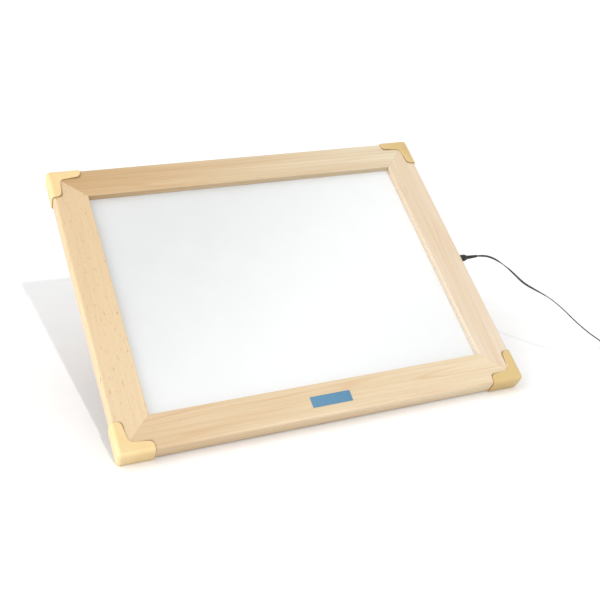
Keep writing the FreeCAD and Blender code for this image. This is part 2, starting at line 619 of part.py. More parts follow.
def bracket(name, middle):
    """A folded steel bracket: a base plate with two lugs that stand down beside the leg's head."""
    low_x, high_x = f"{middle} - {PIN_HALF}", f"{middle} + {PIN_HALF}"
    pieces = [block(f"{name}_base", (low_x, "pivot_place - bracket_length / 2", f"-{BRACKET_BACK}"),
                    (f"2 * {PIN_HALF}", "bracket_length", "bracket_wall"))]
    for hand, start in (("left", low_x), ("right", f"{high_x} - bracket_wall")):
        pieces.append(block(f"{name}_{hand}_lug",
                            (start, "pivot_place - lug_radius", f"-{PIVOT_DEPTH}"),
                            ("bracket_wall", "2 * lug_radius", "pivot_drop")))
        pieces.append(rod(f"{name}_{hand}_lug_end", (start, "pivot_place", f"-{PIVOT_DEPTH}"),
                          "lug_radius", "bracket_wall"))
    blank = fused(f"{name}_blank", *pieces)
    return finish(name, less(name, blank, group(f"{name}_cuts", pivot_pins, bracket_screws)))


bracket("hinge_bracket_left", "(0 - leg_spacing / 2)")
bracket("hinge_bracket_right", "(leg_spacing / 2)")

# ---------------------------------------------------------------- the prop's folding side
# Built round the pivot: Z runs up the leg, Y out of its rear face. The leg's head is cut to the
# slope at which it meets the bracket's base plate when the prop is open, which stops it there.
crossbar = rod("crossbar", ("0 - leg_spacing / 2 + leg_width / 2 - crossbar_seat", "0",
                            f"crossbar_height - {LEG_END}"),
               "crossbar_radius", "leg_spacing - leg_width + 2 * crossbar_seat")
finish("prop_crossbar", crossbar, "prop")
STOP = "(pivot_drop - stop_gap)"
HALF_LEG = "leg_thickness / 2"
HEAD_WALL = 1  # what the rounding leaves of the leg's head
FLOOR_SPAN = 60  # a block on the floor that is larger than a foot
feet = []
for hand, place in leg_places.items():
    wood = new_body(f"leg_{hand}_wood")
    rise = f"{HALF_LEG} * sin(tilt - prop_lean)"
    pad(wood, outline(wood, [
        (HALF_LEG, f"({STOP} + {rise}) / cos(tilt - prop_lean)"),
        (f"-{HALF_LEG}", f"({STOP} - {rise}) / cos(tilt - prop_lean)"),
        (f"-{HALF_LEG}", f"-{LEG_END}"), (HALF_LEG, f"-{LEG_END}")], "YZ_Plane"), "leg_width", True)
    rounded(wood, f"leg_thickness / 2 - {HEAD_WALL}",
            lambda m, a: abs(a.x) > 0.99 and m.z > 0 and near(m.y, -d.leg_thickness / 2))
    middle = f"{'-' if place < 0 else ''}leg_spacing / 2"
    put(wood, (middle, "0", "0"))
    hole = rod(f"leg_{hand}_hole", (f"{middle} - leg_width", "0", "0"),
               "pivot_radius + pivot_clearance", "2 * leg_width")
    cuts = group(f"leg_{hand}_cuts", hole, crossbar)
    finish(f"prop_leg_{hand}", less(f"prop_leg_{hand}", wood, cuts), "prop")
    boot = block(f"boot_{hand}", (f"{middle} - leg_width / 2 - foot_wall",
                                  f"0 - {HALF_LEG} - foot_wall", f"-{LEG_END} - 2 * foot_sole"),
                 ("leg_width + 2 * foot_wall", "leg_thickness + 2 * foot_wall",
                  "foot_height + foot_sole"))
    above_floor = block(f"above_floor_{hand}", (
        f"{middle} - {FLOOR_SPAN} / 2", f"0 - cos(prop_lean) * {FLOOR_SPAN} / 2",
        f"sin(prop_lean) * {FLOOR_SPAN} / 2 - {REACH}"),
        (FLOOR_SPAN, FLOOR_SPAN, FLOOR_SPAN), Rotation(X_AXIS, -d.prop_lean))
    feet.append(less(f"foot_{hand}", shared(f"foot_{hand}_block", boot, above_floor), wood))
finish("prop_feet", group("prop_feet", *feet), "prop")

# ---------------------------------------------------------------- where the tablet and prop stand
slope = math.radians(d.tilt)
front_edge = d.edge_round * (math.cos(slope) + math.sin(slope)) - d.edge_round - d.guard_wall
rear_edge = ((d.depth - d.back_round) * math.cos(slope) + (d.thickness - d.back_round) * math.sin(slope)
             + d.back_round + d.guard_wall)
lift = (d.back_round + d.guard_wall + (d.thickness - d.back_round) * math.cos(slope)
        - d.back_round * math.sin(slope))
TABLET = Placement(Vector(0, -(front_edge + rear_edge) / 2, lift), Rotation(X_AXIS, d.tilt))
PROP = TABLET.multiply(Placement(Vector(0, d.pivot_place, -pivot_depth),
                                 Rotation(X_AXIS, d.prop_lean - d.tilt)))

# ---------------------------------------------------------------- the plug and the lead
finish("dc_plug_barrel", turned("dc_plug_barrel", [
    ("barrel_bore", "-plug_gap"), ("barrel_radius", "-plug_gap"), ("barrel_radius", "barrel_length"),
    ("barrel_bore", "barrel_length")], jack_spot, INTO_RAIL))
dc_plug = turned("dc_plug_body", [
    ("0", "plug_gap"), ("plug_radius", "plug_gap"), ("plug_radius", "plug_grip"),
    ("plug_neck_radius", "plug_taper"), ("plug_tail_radius", "plug_length"), ("0", "plug_length")],
    jack_spot, OUT_OF_RAIL)
rounded(dc_plug, "plug_shoulder", lambda m, a: near(m.z, d.plug_grip) or near(m.z, d.plug_taper))
rounded(dc_plug, "plug_round", lambda m, a: near(m.z, d.plug_gap))
finish("dc_plug_body", dc_plug)

plug_end = TABLET.multVec(Vector(d.width / 2 + d.plug_length, d.jack_place, -d.jack_depth))
COIL_MIDDLE = (515, -262)
# The lead leaves the plug level, bends forwards and falls to the floor in an uneven curve.
ROUTE = [tuple(plug_end), (358, -3, 148), (370, -13, 144.5), (376.5, -31, 138.5), (381, -51, 131),
         (386.5, -74, 119), (396, -97, 112.5), (406, -120, 106), (416.5, -140, 93.5),
         (430, -157, 76), (445, -173.5, 60), (458, -188, 49.5), (470, -206, 36),
         (478.5, -226, 20), (484.5, -245, 8), (488.5, -258.5, 3), (493.2, -271.4, 2.5)]
cord_radius = d.cord_diameter / 2
TOP_ROW = d.tie_wall + d.cord_diameter * (d.coil_rows - 0.5)
OUTER_TURN = d.coil_radius + d.cord_diameter * (d.coil_rows - 1) / 2
TAIL_X = COIL_MIDDLE[0] + OUTER_TURN
RELIEF_TIP = -238
ARC_SHARE = 0.45  # how much of the shorter run an arc takes up
VOLUME_SLACK = 0.01
TAIL = [(TAIL_X, COIL_MIDDLE[1], TOP_ROW), (TAIL_X, RELIEF_TIP, TOP_ROW)]


def tube(name, points, radius):
    """A round lead along straight runs joined by tangent arcs, each as large as its runs allow."""
    points = [Vector(*p) for p in points]
    edges, last, radii = [], points[0], []
    for before, here, after in zip(points, points[1:], points[2:]):
        back, on = (before - here), (after - here)
        shorter = min(back.Length, on.Length)
        back.normalize()
        on.normalize()
        turn = math.pi - back.getAngle(on)
        reach = ARC_SHARE * shorter
        bend = reach / math.tan(turn / 2)
        radii.append(round(bend, 1))
        start, end = here + back * reach, here + on * reach
        inward = (back + on).normalize()
        crown = here + inward * (bend / math.cos(turn / 2) - bend)
        edges += [Part.LineSegment(last, start).toShape(), Part.Arc(start, crown, end).toShape()]
        last = end
    edges.append(Part.LineSegment(last, points[-1]).toShape())
    path = Part.Wire(edges)
    first = points[1] - points[0]
    section = Part.Wire([Part.Circle(points[0], first, radius).toShape()])
    solid = path.makePipeShell([section], True, True)
    expected = math.pi * radius ** 2 * path.Length
    print(f"{name}: {path.Length:.1f} mm long, bend radii {radii}, "
          f"volume {solid.Volume / expected:.4f} of section times length")
    if abs(solid.Volume / expected - 1) > VOLUME_SLACK:
        raise RuntimeError(f"{name} isn't its section times its length")
    result = doc.addObject("Part::Feature", name)
    result.Shape = solid
    return result, path.Length


lead, lead_length = tube("dc_cord", ROUTE, cord_radius)
finish("dc_cord", lead, "world")
tail, tail_length = tube("cord_tail", TAIL, cord_radius)
finish("cord_tail", tail, "world")
turns = (d.cord_length - lead_length - tail_length) / (2 * math.pi * d.coil_radius)
print(f"the coil holds {turns:.2f} turns")

coil_spot = (COIL_MIDDLE[0], COIL_MIDDLE[1], "tie_wall")
BUNDLE = "(coil_rows * cord_diameter)"
coil_section = [(f"coil_radius - {BUNDLE} / 2", "0"), (f"coil_radius + {BUNDLE} / 2", "0"),
                (f"coil_radius + {BUNDLE} / 2", BUNDLE), (f"coil_radius - {BUNDLE} / 2", BUNDLE)]
cord_coil = finish("cord_coil", turned("cord_coil", coil_section, coil_spot), "world")
tie_outer = block("tie_outer", (f"{COIL_MIDDLE[0]} - tie_width / 2",
                                f"{COIL_MIDDLE[1]} + coil_radius - {BUNDLE} / 2 - 3 * tie_wall", "0"),
                  ("tie_width", f"{BUNDLE} + 4 * tie_wall", f"{BUNDLE} + 2 * tie_wall"))
finish("cord_tie", less("cord_tie", tie_outer, cord_coil), "world")

ADAPTER_LOW_Y = f"({RELIEF_TIP} + relief_length)"
adapter = new_body("adapter_body")
pad(adapter, outline(adapter, [
    ("-adapter_width / 2", "0"), ("adapter_width / 2", "0"), ("adapter_width / 2", "adapter_length"),
    ("-adapter_width / 2", "adapter_length")]), "adapter_height")
rounded(adapter, "adapter_round", upright)
rounded(adapter, "adapter_round / 2", lambda m, a: near(m.z, 0) or near(m.z, d.adapter_height))
put(adapter, (TAIL_X, ADAPTER_LOW_Y, "0"))
finish("adapter_body", adapter, "world")
finish("adapter_relief", turned("adapter_relief", [
    ("0", "0"), ("plug_tail_radius", "0"), ("relief_radius", "relief_length"), ("0", "relief_length")],
    (TAIL_X, RELIEF_TIP, TOP_ROW), ALONG_Y), "world")
finish("adapter_blades", group("adapter_blades", *[
    block(f"blade_{sign + 1}", (f"{TAIL_X} + {sign} * blade_spacing / 2 - blade_thickness / 2",
                                f"{ADAPTER_LOW_Y} + adapter_length",
                                "(adapter_height - blade_width) / 2"),
          ("blade_thickness", "blade_length", "blade_width")) for sign in (-1, 1)]), "world")

# ---------------------------------------------------------------- placing, checking and writing
STANDS = {"tablet": TABLET, "prop": PROP, "world": Placement()}
placed = {}
for name, obj in NODES.items():
    obj.Label = f"{name}_flat"
    placed[name] = group(f"{name}_placed", obj)
    placed[name].Label = name
    placed[name].Placement = STANDS[WHERE[name]]
doc.recompute()

for obj in doc.Objects:
    if "Invalid" in obj.State or "Error" in obj.State:
        raise RuntimeError(f"{obj.Label} failed: {obj.State}")
os.makedirs("parts", exist_ok=True)
for name, obj in placed.items():
    if obj.Shape.isNull() or not obj.Shape.isValid() or not obj.Shape.Solids:
        raise RuntimeError(f"{name} has no valid solid")
for name, obj in placed.items():
    obj.Shape.exportStep(f"parts/{name}.step")
    box = obj.Shape.BoundBox
    print(f"{name}: {len(obj.Shape.Solids)} solid(s), {obj.Shape.Volume / 1000:.2f} cm3, "
          f"x {box.XMin:.1f} to {box.XMax:.1f}, y {box.YMin:.1f} to {box.YMax:.1f}, "
          f"z {box.ZMin:.1f} to {box.ZMax:.1f}")
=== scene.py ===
# %% [markdown]
# # A sloping light box
# A light box is a shallow tray of light for tracing. This one is a mitred beech frame with soft
# corner guards, a white panel sunk into it, and a folding prop that holds it at a slope. The frame,
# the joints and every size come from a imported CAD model. This notebook adds what a CAD model lacks:
# the grain of the wood, the softness of the moulded parts, and a lead that hangs as a lead does.

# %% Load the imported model
import math

import bmesh
import bpy
import numpy as np
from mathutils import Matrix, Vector


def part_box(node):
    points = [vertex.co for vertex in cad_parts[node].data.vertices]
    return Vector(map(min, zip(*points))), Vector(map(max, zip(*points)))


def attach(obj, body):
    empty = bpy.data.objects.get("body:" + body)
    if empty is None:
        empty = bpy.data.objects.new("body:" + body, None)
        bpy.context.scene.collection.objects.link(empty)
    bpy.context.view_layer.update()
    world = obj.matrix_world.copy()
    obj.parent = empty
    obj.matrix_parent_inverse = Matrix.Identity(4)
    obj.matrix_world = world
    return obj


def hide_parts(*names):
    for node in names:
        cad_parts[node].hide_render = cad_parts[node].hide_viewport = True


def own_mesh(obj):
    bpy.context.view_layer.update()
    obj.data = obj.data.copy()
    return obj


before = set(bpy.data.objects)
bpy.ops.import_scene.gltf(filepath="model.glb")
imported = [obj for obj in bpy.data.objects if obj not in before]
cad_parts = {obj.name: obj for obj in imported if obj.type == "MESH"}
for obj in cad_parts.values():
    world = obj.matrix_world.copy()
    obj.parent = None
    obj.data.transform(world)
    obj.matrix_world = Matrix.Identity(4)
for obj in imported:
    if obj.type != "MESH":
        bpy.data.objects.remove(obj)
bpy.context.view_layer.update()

# %% [markdown]
# ## Where things are
# The tablet was drawn flat and then tilted, so most of its parts are easiest to place in its own
# directions: across, up the slope, and out of the panel. The white panel is a plain sheet, and two
# of its corners give both the tilt and the origin, so nothing here depends on a measured angle.

# %% Find the tablet's own directions
PANEL_INSET = 0.0373  # from the frame's outer faces to the panel's edge
PANEL_DEPTH = 0.0107  # from the frame's top face down to the panel


def node_points(node):
    """A CAD node's corners as an array with one row a point."""
    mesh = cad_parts[node].data
    flat = np.empty(len(mesh.vertices) * 3)
    mesh.vertices.foreach_get("co", flat)
    return flat.reshape(-1, 3)


panel_corners = node_points("diffuser_panel")
panel_corners = panel_corners[panel_corners[:, 0] < 0]
front_corner = Vector(panel_corners[panel_corners[:, 1].argmin()])
rear_corner = Vector(panel_corners[panel_corners[:, 2].argmax()])
up_the_slope = (rear_corner - front_corner).normalized()
tilt = math.atan2(up_the_slope.z, up_the_slope.y)
out_of_panel = Vector((1, 0, 0)).cross(up_the_slope)
tablet_origin = front_corner - up_the_slope * PANEL_INSET + out_of_panel * PANEL_DEPTH
tablet_origin.x = 0
print(f"the tablet is tilted by {math.degrees(tilt):.1f} degrees, from {tablet_origin}")

# %% [markdown]
# ## Camera
# The camera stands to the left of the box and a little above it, with a portrait lens, looking
# slightly down. It comes first because the lead's put-away coil has to lie outside what it sees.

# %% Place the camera
EYE = Vector((-0.5259, -1.2969, 0.6376))
TURN_RIGHT = math.radians(23.19)
LOOK_DOWN = math.radians(20.27)

camera_data = bpy.data.cameras.new("portrait_lens")
camera_data.lens = 58.84
camera_data.sensor_width = 36
camera_data.clip_end = 200
camera = bpy.data.objects.new("camera", camera_data)
camera.location = EYE
camera.rotation_euler = (math.pi / 2 - LOOK_DOWN, 0, -TURN_RIGHT)
bpy.context.scene.collection.objects.link(camera)
bpy.context.scene.camera = camera
print(f"the camera is {(EYE - tablet_origin).length:.2f} m from the box's front edge")

# %% [markdown]
# ## Meshes from grids
# Every new piece is a grid of points worked out as one numpy array, and a mesh needs only that grid
# and the quads between neighbours. One helper turns any such grid into a closed mesh. It measures
# the volume that the faces enclose, and turns them all round if it comes out negative, so that the
# faces always point outwards.


# %% Build a closed mesh from a grid of points
def link_mesh(name, points, faces, smooth_angle=35):
    """Points and faces as a linked object, smooth except where two faces meet at a sharp angle."""
    mesh = bpy.data.meshes.new(name)
    mesh.from_pydata(points.reshape(-1, 3).tolist(), [], faces)
    mesh.polygons.foreach_set("use_smooth", np.ones(len(mesh.polygons), bool))
    mesh.set_sharp_from_angle(angle=math.radians(smooth_angle))
    piece = bpy.data.objects.new(name, mesh)
    bpy.context.scene.collection.objects.link(piece)
    return piece


def grid_faces(rows, columns, loop=False):
    """Quads between the neighbours of a grid whose columns close on themselves. A loop closes the
    rows too; otherwise one wide face closes each end."""
    across = np.arange(columns)
    after = (across + 1) % columns
    low = np.arange(rows if loop else rows - 1)[:, None] * columns
    high = (low + columns) % (rows * columns)
    quads = np.stack([low + across, low + after, high + after, high + across], -1).reshape(-1, 4)
    faces = quads.tolist()
    if not loop:
        faces += [across[::-1].tolist(), (across + (rows - 1) * columns).tolist()]
    return faces


def enclosed(points, faces):
    """The volume inside the faces: the sum, over each face, of its cone from the origin."""
    flat = points.reshape(-1, 3)
    total = 0.0
    for size in {len(face) for face in faces}:
        ring = flat[np.array([face for face in faces if len(face) == size])]
        for k in range(1, size - 1):
            total += np.einsum("ij,ij->i", ring[:, 0], np.cross(ring[:, k], ring[:, k + 1])).sum()
    return total / 6


def grid_piece(name, points, loop=False):
    """A closed piece from points in rows and columns, with its faces outwards."""
    faces = grid_faces(points.shape[0], points.shape[1], loop)
    if enclosed(points, faces) < 0:
        faces = [face[::-1] for face in faces]
    return link_mesh(name, points, faces)


def turned_piece(name, start, axis, profile, sides=48):
    """A lathe: each (distance, radius) of the profile becomes a ring round the axis."""
    axis = Vector(axis).normalized()
    side = axis.orthogonal().normalized()
    other = axis.cross(side)
    angle = np.linspace(0, 2 * np.pi, sides, endpoint=False)
    ring = np.cos(angle)[:, None] * np.array(side) + np.sin(angle)[:, None] * np.array(other)
    profile = np.asarray(profile, float)
    points = (np.array(start) + profile[:, 0, None, None] * np.array(axis)
              + profile[:, 1, None, None] * ring)
    return grid_piece(name, points)


print("grid tools are ready")

# %% [markdown]
# ## The lead
# A low-voltage lead is a flat twin: two thin wires side by side in one skin, about twice as wide as
# it is thick. It leaves the plug level, twists as it bends towards the front, and sinks to the
# table, where its unused length is wound into a tied coil beside the adapter. A smooth NURBS spline
# through listed points gives the hanging part, and the coil's turns are added by a loop. The
# tube itself is a flat section carried along that line, because a bevelled curve can't twist where
# the real one does.

# %% Draw the lead's centreline
CORD_WIDTH = 0.0034
CORD_THICKNESS = 0.0017

plug_low, plug_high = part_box("dc_plug_body")
plug_axis = (plug_low + plug_high) / 2
plug_exit = Vector((plug_high.x, plug_axis.y, plug_axis.z))
ROUTE = [tuple(plug_exit), (0.358, -0.003, 0.148), (0.370, -0.013, 0.1445),
         (0.3765, -0.031, 0.1385),
         (0.381, -0.051, 0.131), (0.3865, -0.074, 0.119), (0.396, -0.097, 0.1125),
         (0.406, -0.120, 0.106), (0.4165, -0.140, 0.0935), (0.430, -0.157, 0.076),
         (0.445, -0.1735, 0.060), (0.458, -0.188, 0.0495), (0.470, -0.206, 0.036),
         (0.4785, -0.226, 0.020), (0.4845, -0.245, 0.008), (0.4885, -0.2585, 0.003),
         (0.4932, -0.2714, 0.0025)]

coil_low, coil_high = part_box("cord_coil")
coil_centre = (coil_low + coil_high) / 2
COIL_RADIUS = 6 * CORD_WIDTH
TURN_POINTS = 24
# The slots of the wound bundle, as (columns out, rows up) from its middle, in the order of winding.
SLOTS = [(1, -1), (0, -1), (-1, -1), (-1, 0), (-1, 1), (0, 1), (0, 0), (1, 0), (1, 1)]
entry = Vector(ROUTE[-1]) - coil_centre
ENTRY_ANGLE = math.atan2(entry.y, entry.x) % (2 * math.pi)


def coil_points():
    """The turns, wound anticlockwise: each turn keeps to its slot, and slides over to the next slot
    in a part of the circle of its own, which the turns after it have already left free."""
    steps = round((2 * math.pi * len(SLOTS) - ENTRY_ANGLE) / (2 * math.pi) * TURN_POINTS)
    share = np.arange(1, steps + 1) / steps * (len(SLOTS) - ENTRY_ANGLE / (2 * math.pi))
    angle = ENTRY_ANGLE + share * 2 * math.pi
    turn = np.minimum(share.astype(int), len(SLOTS) - 1)
    sector = (len(SLOTS) - 1 - turn) / len(SLOTS)
    slide = np.clip((share - turn - sector) * len(SLOTS), 0, 1)
    slide = slide * slide * (3 - 2 * slide)
    slots = np.array(SLOTS + SLOTS[-1:], float)
    place = slots[turn] + (slots[turn + 1] - slots[turn]) * slide[:, None]
    # The spline runs inside its points, so they stand a little further out than the turn.
    radius = (COIL_RADIUS + place[:, 0] * CORD_WIDTH) / math.cos(math.pi / TURN_POINTS)
    height = coil_centre.z + place[:, 1] * CORD_WIDTH
    return np.stack([coil_centre.x + radius * np.cos(angle), coil_centre.y + radius * np.sin(angle),
                     height], -1)


TAIL_IN_RELIEF = 0.002  # how far the lead runs on inside its strain relief
relief_low, relief_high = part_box("adapter_relief")
relief_axis = (relief_low + relief_high) / 2
tail_end = (relief_axis.x, relief_low.y + TAIL_IN_RELIEF, relief_axis.z)
control_points = np.vstack([ROUTE, coil_points(), [tail_end]])

cord_line = bpy.data.curves.new("cord_line", "CURVE")
cord_line.dimensions = "3D"
cord_line.resolution_u = 6
spline = cord_line.splines.new("NURBS")
spline.points.add(len(control_points) - 1)
spline.points.foreach_set("co", np.c_[control_points, np.ones(len(control_points))].ravel())
spline.order_u = 3
spline.use_endpoint_u = True
cord_line_object = bpy.data.objects.new("cord_line", cord_line)
bpy.context.scene.collection.objects.link(cord_line_object)
bpy.context.view_layer.update()
line_mesh = bpy.data.meshes.new_from_object(cord_line_object)
cord_path = np.empty(len(line_mesh.vertices) * 3)
line_mesh.vertices.foreach_get("co", cord_path)
cord_path = cord_path.reshape(-1, 3)
bpy.data.objects.remove(cord_line_object)
step = np.linalg.norm(np.diff(cord_path, axis=0), axis=1)
travelled = np.concatenate([[0], np.cumsum(step)])
print(f"the lead's line is {travelled[-1]:.3f} m long, with {len(control_points)} control points")

# %% [markdown]
# ### The flat, twisting section
# A flat lead takes its twist from how it was coiled before. Here its wide side faces the front as
# it leaves the plug, turns edge on, comes round again and stays nearly edge on, so its width seems
# to swell and thin along the drop. The twist is a smooth curve through a few (distance, angle)
# pairs, measured from a sideways direction that follows the line.

# %% Carry the flat section along the line
TWIST = np.array([(0.0, 60), (0.012, 5), (0.03, 20), (0.052, 85), (0.075, 130), (0.10, 180),
                  (0.125, 225), (0.15, 265), (0.25, 280), (0.33, 350), (0.38, 360)], float)
SEEN_ALONG = np.array([0.37, 0.86, -0.35])
COIL_START = 0.36  # distance along the line at which it lies flat on the table
SETTLING = 0.06  # the length over which it comes to lie flat
SECTION_SIDES = 14


def cord_section(sides):
    """Two wires in one skin: a flat oval with its ends round and its middle drawn in slightly."""
    angle = np.linspace(0, 2 * np.pi, sides, endpoint=False)
    waist = 1 - 0.18 * np.sin(angle) ** 8
    wide = CORD_WIDTH / 2 * np.cos(angle)
    thick = CORD_THICKNESS / 2 * np.sign(np.sin(angle)) * np.abs(np.sin(angle)) ** 0.8 * waist
    return np.stack([wide, thick], -1)


def unit(vectors):
    """Each vector divided by its length."""
    return vectors / np.linalg.norm(vectors, axis=-1, keepdims=True)


def carry(path, distance, section, twist_keys):
    """The section's points placed round each point of the path, in the plane across its direction.
    They are turned by the twist there, so that the wide side runs along
    sideways * cos(twist) + upward * sin(twist)."""
    along = unit(np.gradient(path, axis=0))
    settled = np.clip((distance - COIL_START + SETTLING) / SETTLING, 0, 1)[:, None]
    reference = unit(SEEN_ALONG * (1 - settled) + np.array([0, 0, -1.0]) * settled)
    sideways = unit(np.cross(along, reference))
    upward = np.cross(sideways, along)
    angle = np.radians(np.interp(distance, twist_keys[:, 0], twist_keys[:, 1]))[:, None]
    wide = sideways * np.cos(angle) + upward * np.sin(angle)
    thick = upward * np.cos(angle) - sideways * np.sin(angle)
    return path[:, None] + section[:, 0, None] * wide[:, None] + section[:, 1, None] * thick[:, None]


lead_points = carry(cord_path, travelled, cord_section(SECTION_SIDES), TWIST)
supply_lead = grid_piece("supply_lead", lead_points)
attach(supply_lead, "tablet")
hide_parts("dc_cord", "cord_coil", "cord_tail")
print(f"the lead has {len(supply_lead.data.polygons)} faces")

# %% [markdown]
# ### Plug, strain reliefs and tie
# A moulded plug is a turned shape: a grip that a finger and thumb can hold, a shoulder, and a long
# tail that bends with the lead. Ribs round the grip and slots in the tail are what make it look
# moulded and not cut. All of that is one profile, spun on a lathe.

# %% Turn the plug
GRIP_RADIUS = 0.0055
NECK_RADIUS = 0.0030
TAIL_RADIUS = 0.0021
GRIP_END = 0.013
NECK_START = 0.021
EDGE_ROUND = 0.0008
RING_PITCH, RING_DEPTH = 0.0017, 0.00028
SLOT_PITCH, SLOT_DEPTH = 0.0026, 0.00045


def smooth_step(x):
    """0 below 0, 1 above 1, and an S curve between them."""
    x = np.clip(x, 0, 1)
    return x * x * (3 - 2 * x)


def pulse(x, pitch, power):
    """Bumps from 0 to 1, one every pitch: the upper halves of a cosine, raised to a power."""
    return np.clip(np.cos(2 * np.pi * x / pitch), 0, 1) ** power


def plug_profile(length):
    """Distance and radius: a round-edged grip with five shallow rings, an S-shaped shoulder, and a
    tail that narrows evenly with slots in it."""
    x = np.linspace(0, length, 240)
    shoulder = smooth_step((x - GRIP_END) / (NECK_START - GRIP_END))
    radius = GRIP_RADIUS - (GRIP_RADIUS - NECK_RADIUS) * shoulder
    radius -= (NECK_RADIUS - TAIL_RADIUS) * np.clip((x - NECK_START) / (length - NECK_START), 0, 1)
    edge = np.clip(1 - x / EDGE_ROUND, 0, 1)
    radius -= EDGE_ROUND * (1 - np.sqrt(1 - edge ** 2))
    rings = np.where((x > 0.003) & (x < 0.0115), pulse(x, RING_PITCH, 2), 0)
    slots = np.where((x > 0.0235) & (x < length - 0.003), pulse(x, SLOT_PITCH, 3), 0)
    radius -= RING_DEPTH * rings + SLOT_DEPTH * slots
    return np.stack([x, radius], -1)


plug_length = plug_high.x - plug_low.x
plug = turned_piece("moulded_plug", (plug_low.x, plug_axis.y, plug_axis.z), (1, 0, 0),
                    plug_profile(plug_length))
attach(plug, "tablet")
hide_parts("dc_plug_body")
print(f"the plug is {plug_length * 1000:.1f} mm long")


# %% Turn the adapter's strain relief
RELIEF_ROOT = 0.004
RELIEF_PITCH, RELIEF_DEPTH = 0.003, 0.0006


def relief_profile(length, tip, root):
    """A cone from tip to root with slots round it."""
    x = np.linspace(0, length, 160)
    radius = tip + (root - tip) * x / length
    slots = np.where((x > 0.003) & (x < length - 0.0035), pulse(x, RELIEF_PITCH, 3), 0)
    return np.stack([x, radius - RELIEF_DEPTH * slots], -1)


relief = turned_piece("adapter_strain_relief", (relief_axis.x, relief_low.y, relief_axis.z),
                      (0, 1, 0),
                      relief_profile(relief_high.y - relief_low.y, TAIL_RADIUS, RELIEF_ROOT))
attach(relief, "tablet")
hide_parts("adapter_relief")
print("the strain relief is slotted")

# %% [markdown]
# The coil is held by a paper-covered wire tie: a thin flat band round the bundle, with its two ends
# twisted together. The band's loop is a rounded square, which is a circle whose cosine and sine are
# both raised to a small power.

# %% Wrap the tie round the coil
TIE_WIDTH = 0.0050
TIE_THICKNESS = 0.0006
TIE_TAIL = 0.011
TIE_DROOP = 0.002
STRAND_OFFSET = 0.0007
STRAND_TURNS = 2.5
STRAND_HALF = (0.0009, 0.0004)  # half of each strand's width and thickness
SQUARENESS = 0.55


def rounded_square(angle, half):
    """Points of a loop halfway between a circle and a square, half wide each way."""
    cosine, sine = np.cos(angle), np.sin(angle)
    return half * np.stack([np.sign(cosine) * np.abs(cosine) ** SQUARENESS,
                            np.sign(sine) * np.abs(sine) ** SQUARENESS], -1)


def tie_band(middle, half, width, thickness):
    """A flat band round the bundle: for each place on the loop, a section with rounded corners."""
    loop_angle = np.linspace(0, 2 * np.pi, 64, endpoint=False)
    section_angle = np.linspace(0, 2 * np.pi, 16, endpoint=False)
    across = width / 2 * np.sign(np.cos(section_angle)) * np.abs(np.cos(section_angle)) ** 0.5
    proud = half + thickness / 2 * (1 + np.sin(section_angle))
    loop = rounded_square(loop_angle, 1.0)
    points = np.empty((len(loop_angle), len(section_angle), 3))
    points[..., 0] = middle[0] + across
    points[..., 1] = middle[1] + loop[:, 0, None] * proud
    points[..., 2] = middle[2] + loop[:, 1, None] * proud
    return points


bundle_middle = (coil_centre.x, coil_centre.y + COIL_RADIUS, coil_centre.z)
bundle_half = 1.5 * CORD_WIDTH
tie = grid_piece("coil_tie", tie_band(bundle_middle, bundle_half, TIE_WIDTH, TIE_THICKNESS),
                 loop=True)


def twisted_end(name, start, phase):
    """One strand of the twist: a thin tube on a helix that runs away from the band."""
    run = np.linspace(0, 1, 60)
    turn = 2 * np.pi * STRAND_TURNS * run + phase
    path = np.stack([start[0] + STRAND_OFFSET * np.cos(turn), start[1] + TIE_TAIL * run,
                     start[2] + STRAND_OFFSET * np.sin(turn) - TIE_DROOP * run ** 2], -1)
    angle = np.linspace(0, 2 * np.pi, 8, endpoint=False)
    section = np.stack([STRAND_HALF[0] * np.cos(angle), STRAND_HALF[1] * np.sin(angle)], -1)
    distance = np.linspace(0, TIE_TAIL, len(run))
    first = math.degrees(phase)
    keys = np.array([(0, first), (TIE_TAIL, first + 360 * STRAND_TURNS)])
    return grid_piece(name, carry(path, distance + COIL_START, section, keys + [COIL_START, 0]))


twist_start = (bundle_middle[0], bundle_middle[1] + bundle_half, bundle_middle[2])
tie_ends = [twisted_end(f"tie_end_{k + 1}", twist_start, k * math.pi) for k in range(2)]
for piece in [tie, *tie_ends]:
    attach(piece, "tablet")
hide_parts("cord_tie")
print("the tie and its twisted ends are on")

# %% [markdown]
# ## Floor and light
# The box stands on a plain pale surface. A key lamp in front and above gives the soft shadow that
# falls straight back, a level one brightens only what faces left, a broad fill opens the shadow, and
# a white sky does the rest. Nothing is coloured, so the wood keeps its own tone. All three lamps are
# suns, whose light is the same everywhere, so the near and the far corner are lit alike.

# %% Lay the floor and set the lights
FLOOR_HALF = 40.0
FLOOR_DROP = 0.0004  # just below the feet, so the two faces never share a plane
floor_points = np.array([(-1, -1), (1, -1), (1, 1), (-1, 1)], float) * FLOOR_HALF
floor = link_mesh("floor", np.c_[floor_points, np.full(4, -FLOOR_DROP)], [[0, 1, 2, 3]])

KEY_TRAVEL = Vector((-0.015, 0.804, -0.595))  # the way the key light travels
KEY_STRENGTH = 1.35
KEY_SPREAD = math.radians(1.2)
SIDE_TRAVEL = Vector((1, 0, -0.02))  # level, so it brightens only what faces left
SIDE_STRENGTH = 2.4
SIDE_SPREAD = math.radians(6)
FILL_TRAVEL = Vector((1, 0.15, -1))  # opens up the shadow on the floor at the left
FILL_STRENGTH = 0.92
FILL_SPREAD = math.radians(50)
SKY_STRENGTH = 0.84


def aim(piece, travel):
    """Turns a light so that it shines along travel."""
    piece.rotation_euler = Vector(travel).to_track_quat("-Z", "Y").to_euler()


